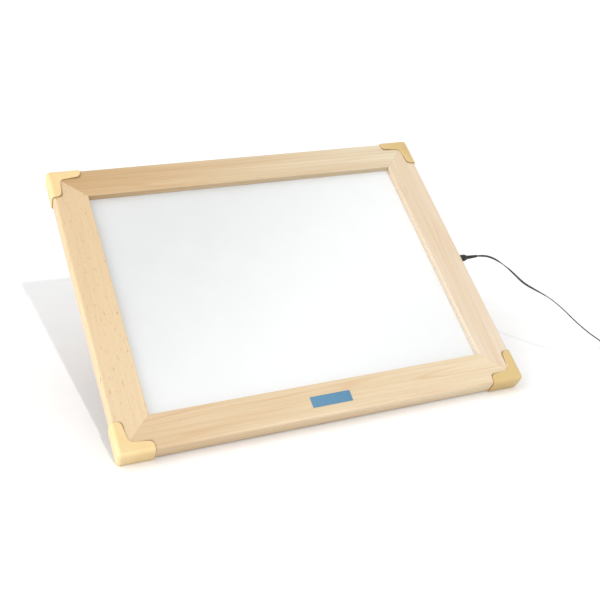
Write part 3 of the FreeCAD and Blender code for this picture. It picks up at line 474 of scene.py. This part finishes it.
def new_light(name, kind, spot, travel, **settings):
    """A light of one kind, placed and aimed."""
    data = bpy.data.lights.new(name, kind)
    for setting, value in settings.items():
        setattr(data, setting, value)
    lamp = bpy.data.objects.new(name, data)
    lamp.location = spot
    aim(lamp, travel)
    bpy.context.scene.collection.objects.link(lamp)
    return lamp


new_light("key", "SUN", (0, -2, 2), KEY_TRAVEL, energy=KEY_STRENGTH, angle=KEY_SPREAD)
new_light("fill", "SUN", (-2, 0, 2), FILL_TRAVEL, energy=FILL_STRENGTH, angle=FILL_SPREAD)
new_light("side", "SUN", (-2, 0, 0.3), SIDE_TRAVEL, energy=SIDE_STRENGTH, angle=SIDE_SPREAD)

sky = bpy.data.worlds.new("white_room")
sky.use_nodes = True
sky.node_tree.nodes["Background"].inputs["Color"].default_value = (1, 1, 1, 1)
sky.node_tree.nodes["Background"].inputs["Strength"].default_value = SKY_STRENGTH
bpy.context.scene.world = sky
bpy.context.scene.view_settings.view_transform = "Standard"
print("the floor and the lights are set")

# %% [markdown]
# ## Shader tools
# Node trees written out socket by socket hide the idea behind them. Two helpers keep each finish
# short: one adds a node and either sets or links each of its sockets, and one opens a new group.


# %% Write the shader helpers
def fill(tree, socket, value):
    """Links a socket if the value is another socket, and sets it if it is a plain value."""
    if isinstance(value, bpy.types.NodeSocket):
        tree.links.new(value, socket)
    else:
        socket.default_value = value


def add(tree, kind, *values, settings=None, out=0, **named):
    """Adds a shader node, fills its sockets by order or by name, and returns one of its outputs."""
    made = tree.nodes.new(f"ShaderNode{kind}")
    for setting, value in (settings or {}).items():
        setattr(made, setting, value)
    for socket, value in zip(made.inputs, values):
        fill(tree, socket, value)
    for name, value in named.items():
        fill(tree, made.inputs[name.replace("_", " ")], value)
    return made.outputs[out]


def math_of(tree, operation, *values, clamp=False):
    """One step of arithmetic."""
    return add(tree, "Math", *values, settings={"operation": operation, "use_clamp": clamp})


def ramp_of(tree, value, low, high, to_low=0.0, to_high=1.0):
    """Carries a value from one range to another, held at both ends."""
    return add(tree, "MapRange", value, low, high, to_low, to_high, settings={"clamp": True})


def mixed(tree, share, first, second, blend="MIX"):
    """Two colours mixed by a share."""
    made = tree.nodes.new("ShaderNodeMix")
    made.data_type = "RGBA"
    made.blend_type = blend
    fill(tree, made.inputs[0], share)
    fill(tree, made.inputs[6], first)
    fill(tree, made.inputs[7], second)
    return made.outputs[2]


def noise_of(tree, vector, stretch, detail=3.0):
    """Noise with its own frequency, in cycles a metre, along each axis."""
    scaled = add(tree, "VectorMath", vector, stretch, settings={"operation": "MULTIPLY"})
    made = tree.nodes.new("ShaderNodeTexNoise")
    made.inputs["Scale"].default_value = 1.0
    made.inputs["Detail"].default_value = detail
    made.inputs["Roughness"].default_value = 0.55
    fill(tree, made.inputs["Vector"], scaled)
    return made.outputs["Fac"]


def new_group(name, inputs, outputs):
    """An empty shader group with named sockets, and its inside ends."""
    tree = bpy.data.node_groups.new(name, "ShaderNodeTree")
    for label, kind, value in inputs:
        socket = tree.interface.new_socket(name=label, in_out="INPUT",
                                           socket_type=f"NodeSocket{kind}")
        if value is not None:
            socket.default_value = value
    for label, kind in outputs:
        tree.interface.new_socket(name=label, in_out="OUTPUT", socket_type=f"NodeSocket{kind}")
    given, result = tree.nodes.new("NodeGroupInput"), tree.nodes.new("NodeGroupOutput")
    return tree, given.outputs, result.inputs


def place_group(tree, group, **named):
    """Puts a group into a material and returns its outputs."""
    made = tree.nodes.new("ShaderNodeGroup")
    made.node_tree = group
    for name, value in named.items():
        fill(tree, made.inputs[name.replace("_", " ")], value)
    return made.outputs


def new_material(name, **fixed):
    """A material with its plain values set on the Principled shader's own sockets."""
    material = bpy.data.materials.new(name)
    material.use_nodes = True
    shader = material.node_tree.nodes["Principled BSDF"]
    for socket, value in fixed.items():
        shader.inputs[socket.replace("_", " ")].default_value = value
    return material, material.node_tree, shader.inputs


def colour(code):
    """A colour from its six-figure web code, as linear red, green, blue and alpha."""
    parts = [int(code[k:k + 2], 16) / 255 for k in (0, 2, 4)]
    linear = [p / 12.92 if p <= 0.04045 else ((p + 0.055) / 1.055) ** 2.4 for p in parts]
    return tuple(linear + [1.0])


def weighed(tree, share, first, second):
    """A share of the first value, and the rest of the second."""
    return math_of(tree, "ADD", math_of(tree, "MULTIPLY", first, share),
                   math_of(tree, "MULTIPLY", second, 1 - share))


def bump_of(tree, height, distance):
    """A bump from a height that runs from 0 to 1, distance metres deep."""
    return add(tree, "Bump", Strength=1.0, Distance=distance, Height=height)


print("shader helpers are ready")

# %% [markdown]
# ## Wood
# Beech is a pale, even wood. Four things make it read as beech and not as plain cream: broad soft
# bands along the board, faint growth lines, a fine straight fibre, and short darker dashes where the
# rays of the tree are cut across. The group below takes a position whose X runs along the grain, in metres, so one
# group serves every rail, batten and leg, each with its own turn and its own seed.


# %% Build the beech group
def beech_group():
    """Colour, roughness and height of planed beech."""
    tree, given, result = new_group(
        "planed_beech",
        [("Position", "Vector", None), ("Seed", "Float", 0.0), ("Pale", "Color", colour("f2dcb4")),
         ("Deep", "Color", colour("dcb987")), ("Dash", "Color", colour("b98a58")),
         ("Banding", "Float", 0.5), ("Lines", "Float", 0.3), ("Dashes", "Float", 0.4)],
        [("Color", "Color"), ("Roughness", "Float"), ("Height", "Float")])
    shift = add(tree, "CombineXYZ", math_of(tree, "MULTIPLY", given["Seed"], 1.37),
                math_of(tree, "MULTIPLY", given["Seed"], 0.71), given["Seed"])
    spot = add(tree, "VectorMath", given["Position"], shift, settings={"operation": "ADD"})
    # Bands: noise drawn out along the board, and a finer streak inside each band.
    broad = noise_of(tree, spot, (1.4, 34.0, 34.0), detail=3.0)
    streak = noise_of(tree, spot, (5.0, 260.0, 260.0), detail=3.0)
    tone = math_of(tree, "ADD", broad, math_of(tree, "MULTIPLY", streak, 0.7))
    tone = math_of(tree, "MULTIPLY", math_of(tree, "SUBTRACT", tone, 0.85), given["Banding"])
    share = math_of(tree, "ADD", math_of(tree, "MULTIPLY", tone, 3.0), 0.5, clamp=True)
    ground = mixed(tree, share, given["Pale"], given["Deep"])
    # Growth lines: the contours of slow noise, which run along the board and wander a little.
    hill = noise_of(tree, spot, (0.9, 20.0, 20.0), detail=1.0)
    step = math_of(tree, "FRACT", math_of(tree, "MULTIPLY", hill, 13.0))
    edge = math_of(tree, "ABSOLUTE", math_of(tree, "SUBTRACT", step, 0.5))
    faint = ramp_of(tree, noise_of(tree, spot, (6.0, 30.0, 30.0), detail=1.0), 0.42, 0.62)
    line = math_of(tree, "MULTIPLY", math_of(tree, "MULTIPLY", ramp_of(tree, edge, 0.36, 0.5), faint),
                   given["Lines"])
    lined = mixed(tree, line, ground, given["Dash"])
    # Ray dashes: long thin spots of noise, kept only where the noise is highest.
    long_spots = noise_of(tree, spot, (80.0, 330.0, 330.0), detail=1.0)
    short_spots = noise_of(tree, spot, (210.0, 700.0, 700.0), detail=0.0)
    dash = math_of(tree, "MAXIMUM", ramp_of(tree, long_spots, 0.655, 0.74),
                   math_of(tree, "MULTIPLY", ramp_of(tree, short_spots, 0.66, 0.80), 0.45))
    dash = math_of(tree, "MULTIPLY", dash, given["Dashes"])
    flecked = mixed(tree, dash, lined, given["Dash"])
    fibre = noise_of(tree, spot, (40.0, 1700.0, 1700.0), detail=2.0)
    fine = ramp_of(tree, fibre, 0.25, 0.75, 0.965, 1.025)
    fine_colour = add(tree, "CombineXYZ", fine, fine, fine)
    tree.links.new(mixed(tree, 1.0, flecked, fine_colour, blend="MULTIPLY"), result["Color"])
    tree.links.new(ramp_of(tree, streak, 0.3, 0.7, 0.42, 0.54), result["Roughness"])
    tree.links.new(math_of(tree, "SUBTRACT", math_of(tree, "MULTIPLY", fibre, 0.6),
                           math_of(tree, "MULTIPLY", dash, 0.5)), result["Height"])
    return tree


BEECH = beech_group()
ALONG_ACROSS = (tilt, 0, 0)  # grain runs across the tablet
ALONG_UP = (0, -tilt, math.pi / 2)  # grain runs up the slope


def grain_position(tree, turn, origin=tablet_origin):
    """The position seen from the tablet's own directions, turned so that X runs along the grain."""
    place = add(tree, "TexCoord", out=3)
    return add(tree, "Mapping", place, tuple(origin), turn, settings={"vector_type": "TEXTURE"})


# The guards in plan, from the frame's outer faces: an arm along each rail, wider at the corner.
CORNER_CUT = 0.0012  # what the frame's rounded corner takes off a rail's point
FRAME_HALF = (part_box("rear_rail")[1].x + CORNER_CUT, 0.239)
GUARD_ARM = 0.048
GUARD_LAP = 0.0145
GUARD_SOFT = 0.012


def mitre_and_shade_group():
    """Two masks from a place on the tablet: a painted shade line on the wood round each corner guard,
    where the guard meets the rail, and the mitre's glue line. How far a place lies inside each outer
    face gives a pair (a, b), the same at all four corners. A guard's arm is where max(a - lap, b - arm)
    is below nought, both arms together are the lesser of the two, and smoothed versions of max and min
    round the ends and the web."""
    tree, given, result = new_group("frame_mitres_and_shade", [("Position", "Vector", None)],
                                    [("Guard_shade", "Float"), ("Mitre", "Float")])
    parts = tree.nodes.new("ShaderNodeSeparateXYZ")
    fill(tree, parts.inputs[0], given["Position"])
    a = math_of(tree, "SUBTRACT", FRAME_HALF[0], math_of(tree, "ABSOLUTE", parts.outputs["X"]))
    middle = math_of(tree, "SUBTRACT", parts.outputs["Y"], FRAME_HALF[1])
    b = math_of(tree, "SUBTRACT", FRAME_HALF[1], math_of(tree, "ABSOLUTE", middle))
    arms = []
    for along, over in ((a, b), (b, a)):
        arms.append(math_of(tree, "SMOOTH_MAX", math_of(tree, "SUBTRACT", over, GUARD_LAP),
                            math_of(tree, "SUBTRACT", along, GUARD_ARM), GUARD_SOFT))
    far = math_of(tree, "SMOOTH_MIN", arms[0], arms[1], GUARD_SOFT)
    # Painted shade: a dark line on the wood along each guard's edge, where the guard meets the rail.
    guard_shade_line = ramp_of(tree, far, 0.0002, 0.0022, 1.0, 0.0)
    tree.links.new(math_of(tree, "POWER", guard_shade_line, 1.6), result["Guard_shade"])
    apart = math_of(tree, "ABSOLUTE", math_of(tree, "SUBTRACT", a, b))
    tree.links.new(ramp_of(tree, apart, 0.0002, 0.0009, 1.0, 0.0), result["Mitre"])
    return tree


MITRE_AND_SHADE = mitre_and_shade_group()


ALONG_X, UP_SLOPE = (-0.3, 0.3), (0.0, 0.47)  # where a rail's painted shade ramp starts and ends


def beech(name, turn, seed, pale, deep, dashes, banding=0.5, lines=0.3, dash="b98a58",
          near_end_shade="ffffff", far_end_shade="ffffff", run=ALONG_X, mitres_and_shade=False):
    """A beech finish: satin lacquer over the group's colour, with painted light: one end darker than the other."""
    material, tree, shader = new_material(name, Coat_Weight=0.12, Coat_Roughness=0.35)
    position = grain_position(tree, turn)
    wood = place_group(tree, BEECH, Position=position, Seed=float(seed), Pale=colour(pale),
                       Deep=colour(deep), Dash=colour(dash), Banding=banding, Lines=lines,
                       Dashes=dashes)
    spot = tree.nodes.new("ShaderNodeSeparateXYZ")
    tree.links.new(position, spot.inputs[0])
    # Painted light: the ramp makes one end of each rail darker than the other, as the light falls.
    end_shade = mixed(tree, ramp_of(tree, spot.outputs["X"], *run), colour(near_end_shade), colour(far_end_shade))
    finish = mixed(tree, 1.0, wood["Color"], end_shade, blend="MULTIPLY")
    if mitres_and_shade:
        marks = place_group(tree, MITRE_AND_SHADE, Position=grain_position(tree, ALONG_ACROSS))
        # The mitre mark is the real glue line; the guard mark is painted shade along the guards' edges.
        for mark, weight, tone in (("Mitre", 0.30, "a57f55"), ("Guard_shade", 0.75, "7d5a33")):
            share = math_of(tree, "MULTIPLY", marks[mark], weight)
            finish = mixed(tree, share, finish, colour(tone))
    tree.links.new(finish, shader["Base Color"])
    tree.links.new(wood["Roughness"], shader["Roughness"])
    tree.links.new(bump_of(tree, wood["Height"], 0.00006), shader["Normal"])
    return material


def dress(node, material):
    """Gives a CAD node a finish."""
    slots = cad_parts[node].data.materials
    slots.clear()
    slots.append(material)


RAILS = {
    "front_rail": beech("beech_front", ALONG_ACROSS, 3, "d6c8ae", "c4ad8a", 0.16, 0.55, 0.45,
                        near_end_shade="f3e8dc", mitres_and_shade=True),
    "rear_rail": beech("beech_rear", ALONG_ACROSS, 11, "cdc2aa", "b9a483", 0.12, 0.6, 0.25,
                       near_end_shade="edd4b5", mitres_and_shade=True),
    "left_rail": beech("beech_left", ALONG_UP, 7, "d3be9c", "c8ad89", 0.60, 0.35, 0.1,
                       dash="a97b4f", far_end_shade="f6f2ea", run=UP_SLOPE, mitres_and_shade=True),
    "right_rail": beech("beech_right", ALONG_UP, 19, "d2c5b3", "c7b297", 0.10, 0.5, 0.25,
                        far_end_shade="f7f2e9", run=UP_SLOPE, mitres_and_shade=True),
}
for rail, finish in RAILS.items():
    dress(rail, finish)
print(f"{len(RAILS)} rails are planed")

# %% [markdown]
# ## Moulded parts
# Soft plastic and rubber are never one flat tone: the mould leaves a fine texture, handling leaves
# slightly glossier and duller places. One group gives a fine height and a slow mottle, and each
# moulded finish mixes its colour and its roughness from them.


# %% Build the moulded finishes
def moulded_group():
    """A slow mottle and a fine mould texture."""
    tree, given, result = new_group(
        "mould_texture", [("Position", "Vector", None), ("Grain", "Float", 2500.0)],
        [("Mottle", "Float"), ("Height", "Float")])
    slow = noise_of(tree, given["Position"], (22.0, 22.0, 22.0), detail=3.0)
    scaled = add(tree, "VectorMath", given["Position"], settings={"operation": "SCALE"},
                 Scale=given["Grain"])
    fine = tree.nodes.new("ShaderNodeTexNoise")
    fine.inputs["Scale"].default_value = 1.0
    fine.inputs["Detail"].default_value = 2.0
    tree.links.new(scaled, fine.inputs["Vector"])
    tree.links.new(ramp_of(tree, slow, 0.3, 0.7), result["Mottle"])
    tree.links.new(fine.outputs["Fac"], result["Height"])
    return tree


MOULDED = moulded_group()


def moulded(name, light, dark, rough=(0.40, 0.55), grain=2500.0, depth=0.00002, **fixed):
    """A moulded finish that wanders between two tones and two roughnesses."""
    material, tree, shader = new_material(name, **fixed)
    place = add(tree, "TexCoord", out=3)
    texture = place_group(tree, MOULDED, Position=place, Grain=grain)
    tree.links.new(mixed(tree, texture["Mottle"], colour(light), colour(dark)), shader["Base Color"])
    tree.links.new(ramp_of(tree, texture["Mottle"], 0.0, 1.0, *rough), shader["Roughness"])
    tree.links.new(bump_of(tree, texture["Height"], depth), shader["Normal"])
    return material


def metal(name, light, dark, rough=(0.25, 0.42)):
    """A plated metal with slow stains and fine scratches."""
    return moulded(name, light, dark, rough, 1400.0, 0.000008, Metallic=1.0)


def softened(node, body, finish, width):
    """A copy of a CAD node, merged into one skin, with its sharp edges rounded by a bevel."""
    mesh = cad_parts[node].data.copy()
    shape = bmesh.new()
    shape.from_mesh(mesh)
    bmesh.ops.remove_doubles(shape, verts=shape.verts, dist=1e-6)
    bmesh.ops.dissolve_limit(shape, angle_limit=math.radians(0.5), verts=shape.verts,
                             edges=shape.edges)
    shape.to_mesh(mesh)
    shape.free()
    mesh.name = f"soft_{node}"
    mesh.materials.clear()
    mesh.materials.append(finish)
    mesh.polygons.foreach_set("use_smooth", np.ones(len(mesh.polygons), bool))
    mesh.set_sharp_from_angle(angle=math.radians(30))
    piece = bpy.data.objects.new(f"soft_{node}", mesh)
    bpy.context.scene.collection.objects.link(piece)
    bevel = piece.modifiers.new("soft_edges", "BEVEL")
    bevel.width = width
    bevel.segments = 2
    bevel.limit_method = "ANGLE"
    bevel.angle_limit = math.radians(40)
    bevel.harden_normals = True
    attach(piece, body)
    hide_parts(node)


# All four guards are one cream plastic: the left pair is painted lighter as lit, the right pair darker as painted
# shade.
GUARDS = {"left": moulded("guard_cream_left_lit", "d8c090", "d3b57f", (0.42, 0.56), 1800.0),
          "right": moulded("guard_cream_right_shaded", "c3ac78", "bfa36c", (0.42, 0.56), 1800.0)}
PLUG = moulded("plug_black", "211f16", "17150f", (0.38, 0.52))
CORD = moulded("cord_black", "1b1a15", "131210", (0.38, 0.5), 3000.0, 0.00001)
FINISHES = {
    "dc_jack": moulded("jack_black", "1c1c1d", "141415"),
    "button_bezel": moulded("bezel_black", "1e1e1f", "151516"),
    "power_button": moulded("button_grey", "4a4b4d", "3c3d3f", (0.35, 0.5)),
    "switch_body": moulded("switch_black", "202022", "161617"),
    "adapter_body": moulded("adapter_black", "1d1d1f", "151517", (0.42, 0.6), 1500.0, 0.00004),
    "backing_foam": moulded("foam_white", "e6e6e0", "d6d6cf", (0.85, 0.95), 700.0, 0.0003),
    "dust_seal": moulded("seal_grey", "7d7d7a", "6a6a67", (0.7, 0.8)),
    "control_board": moulded("circuit_green", "1d6b3a", "175a30", (0.3, 0.4), 900.0),
    "board_components": moulded("component_black", "242426", "19191b"),
    "reflector_film": moulded("film_white", "f4f4f2", "ececea", (0.45, 0.55)),
    "led_strip_front": moulded("lamp_board", "ededea", "e0e0dc", (0.35, 0.45)),
    "leds_front": moulded("lamp_chip", "eedc86", "e6cf6c", (0.3, 0.4)),
    "jack_leads": moulded("lead_red", "a3211c", "851a16", (0.35, 0.45)),
    "dc_plug_barrel": metal("nickel", "d9d5cb", "c4bfb3", (0.15, 0.3)),
    "board_screws": metal("zinc", "c9c8c3", "b0aea6"),
    "button_spring": metal("spring_steel", "bdbdbd", "a5a5a5", (0.2, 0.3)),
}
SAME = {
    "dc_plug_barrel": ["jack_pin", "adapter_blades"],
    "board_screws": ["batten_screws", "bracket_screws", "pivot_pins", "hinge_bracket_left",
                     "hinge_bracket_right"],
    "led_strip_front": ["led_strip_rear"],
    "leds_front": ["leds_rear"],
    "jack_leads": ["switch_leads", "strip_leads"],
}
for node, finish in FINISHES.items():
    for name in [node, *SAME.get(node, [])]:
        dress(name, finish)
GUARD_EDGE = 0.0007
for end in ("front", "rear"):
    for side in ("left", "right"):
        softened(f"guard_{end}_{side}", "tablet", GUARDS[side], GUARD_EDGE)
for piece, finish in ((supply_lead, CORD), (plug, PLUG), (relief, FINISHES["adapter_body"]),
                      (tie, PLUG), *((strand, PLUG) for strand in tie_ends)):
    piece.data.materials.append(finish)
print(f"{len(FINISHES)} moulded and metal finishes are on")

# %% [markdown]
# The button's return spring shortens as the button goes in. Here it is a plain copy of the CAD
# spring, which keeps its length.

# %% Copy the spring
spring = bpy.data.objects.new("return_spring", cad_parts["button_spring"].data.copy())
bpy.context.scene.collection.objects.link(spring)
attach(spring, "tablet")
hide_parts("button_spring")
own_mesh(spring)

# %% [markdown]
# ## Panel, label and back
# The panel is white acrylic with light behind it. A slow ramp across it adds a little emitted light,
# a painted sheen that brightens it towards the front right. The label is a blank printed film. The
# back is hardboard, which is pressed wood fibre: dark, even, and finely mottled.


# %% Finish the panel, the label and the back
PANEL_PAINTED_SHEEN = 0.165
PANEL_SIDES = (-0.254, 0.254)  # where the painted sheen ramps, across the tablet
PANEL_ENDS = (0.427, 0.051)  # where the painted sheen ramps, down the slope


def panel_finish():
    """White acrylic: a slow ramp of emitted light, a painted sheen, over a plain white, under a fine satin
    surface.
    """
    material, tree, shader = new_material("panel_white", Coat_Weight=0.25, Coat_Roughness=0.18,
                                          Emission_Strength=1.0)
    spot = tree.nodes.new("ShaderNodeSeparateXYZ")
    tree.links.new(grain_position(tree, ALONG_ACROSS), spot.inputs[0])
    across = ramp_of(tree, spot.outputs["X"], *PANEL_SIDES)
    down = ramp_of(tree, spot.outputs["Y"], *PANEL_ENDS)
    run = math_of(tree, "ADD", across, down)
    # Painted sheen: emitted light that brightens the panel towards the front right.
    rise = add(tree, "MapRange", run, 0.25, 1.40, 0.0, PANEL_PAINTED_SHEEN,
               settings={"interpolation_type": "SMOOTHSTEP"})
    fall = ramp_of(tree, run, 1.45, 2.0, 0.0, 0.4 * PANEL_PAINTED_SHEEN)
    painted_sheen = math_of(tree, "SUBTRACT", rise, fall)
    tree.links.new(add(tree, "CombineXYZ", painted_sheen, painted_sheen, painted_sheen), shader["Emission Color"])
    place = add(tree, "TexCoord", out=3)
    texture = place_group(tree, MOULDED, Position=place, Grain=1200.0)
    tree.links.new(mixed(tree, texture["Mottle"], colour("c8caca"), colour("c6c7c7")),
                   shader["Base Color"])
    tree.links.new(ramp_of(tree, texture["Mottle"], 0.0, 1.0, 0.30, 0.36), shader["Roughness"])
    tree.links.new(bump_of(tree, texture["Height"], 0.000004), shader["Normal"])
    return material


def guide_finish():
    """Clear acrylic with a faint blue edge."""
    material, tree, shader = new_material("guide_acrylic", Transmission_Weight=0.9, IOR=1.49)
    place = add(tree, "TexCoord", out=3)
    texture = place_group(tree, MOULDED, Position=place, Grain=60.0)
    tree.links.new(mixed(tree, texture["Mottle"], colour("eaf6f6"), colour("e0f2f4")),
                   shader["Base Color"])
    tree.links.new(ramp_of(tree, texture["Mottle"], 0.0, 1.0, 0.04, 0.08), shader["Roughness"])
    return material


def label_finish():
    """Blank blue film: a print a little darker at one end, with a faint fine screen."""
    material, tree, shader = new_material("label_blue", Coat_Weight=0.4, Coat_Roughness=0.2)
    position = grain_position(tree, ALONG_ACROSS)
    spot = tree.nodes.new("ShaderNodeSeparateXYZ")
    tree.links.new(position, spot.inputs[0])
    run = ramp_of(tree, spot.outputs["X"], -0.03, 0.03)
    screen = noise_of(tree, position, (900.0, 900.0, 900.0), detail=1.0)
    share = weighed(tree, 0.7, run, screen)
    tree.links.new(mixed(tree, share, colour("53809b"), colour("497795")), shader["Base Color"])
    tree.links.new(ramp_of(tree, screen, 0.3, 0.7, 0.30, 0.38), shader["Roughness"])
    return material


def hardboard_finish():
    """Pressed fibre: two sizes of noise between two browns, with a slight tooth."""
    material, tree, shader = new_material("hardboard")
    position = grain_position(tree, ALONG_ACROSS)
    cloud = noise_of(tree, position, (14.0, 14.0, 14.0), detail=5.0)
    fleck = noise_of(tree, position, (420.0, 420.0, 420.0), detail=3.0)
    share = ramp_of(tree, weighed(tree, 0.6, cloud, fleck), 0.35, 0.65)
    tree.links.new(mixed(tree, share, colour("8a6444"), colour("6d4b31")), shader["Base Color"])
    tree.links.new(ramp_of(tree, cloud, 0.3, 0.7, 0.5, 0.65), shader["Roughness"])
    tree.links.new(bump_of(tree, fleck, 0.00005), shader["Normal"])
    return material


for node, finish in (("diffuser_panel", panel_finish()), ("light_guide", guide_finish()),
                     ("blank_label", label_finish()), ("back_board", hardboard_finish())):
    dress(node, finish)
print("panel, label and back are finished")

# %% Finish the prop and the floor
PROP_EDGE, FOOT_EDGE = 0.0008, 0.0006
ALONG_LEG = (0, -math.radians(100), math.pi / 2)  # grain runs along the prop's legs
PROP_SEEDS = {"prop_batten": 31, "prop_crossbar": 37, "prop_leg_left": 41, "prop_leg_right": 43,
              "mitre_tongues": 47}
for node, seed in PROP_SEEDS.items():
    low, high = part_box(node)
    span = high - low
    turn = ALONG_ACROSS if span.x > max(span.y, span.z) else ALONG_LEG
    finish = beech(f"beech_{node}", turn, seed, "dcb988", "c79c68", 0.3)
    if node == "mitre_tongues":
        dress(node, finish)
    else:
        body = "tablet" if node == "prop_batten" else "prop"
        softened(node, body, finish, PROP_EDGE)
FOOT = moulded("foot_rubber", "2a2a2a", "1f1f1f", (0.6, 0.75), 1200.0, 0.00005)
softened("prop_feet", "prop", FOOT, FOOT_EDGE)

floor_material, floor_tree, floor_shader = new_material("pale_table", Roughness=0.7)
floor_texture = place_group(floor_tree, MOULDED, Grain=300.0,
                            Position=add(floor_tree, "TexCoord", out=3))
floor_tone = mixed(floor_tree, floor_texture["Mottle"], colour("f0f0f0"), colour("eeeeee"))
floor_tree.links.new(floor_tone, floor_shader["Base Color"])
floor.data.materials.append(floor_material)
print("every piece has a finish")
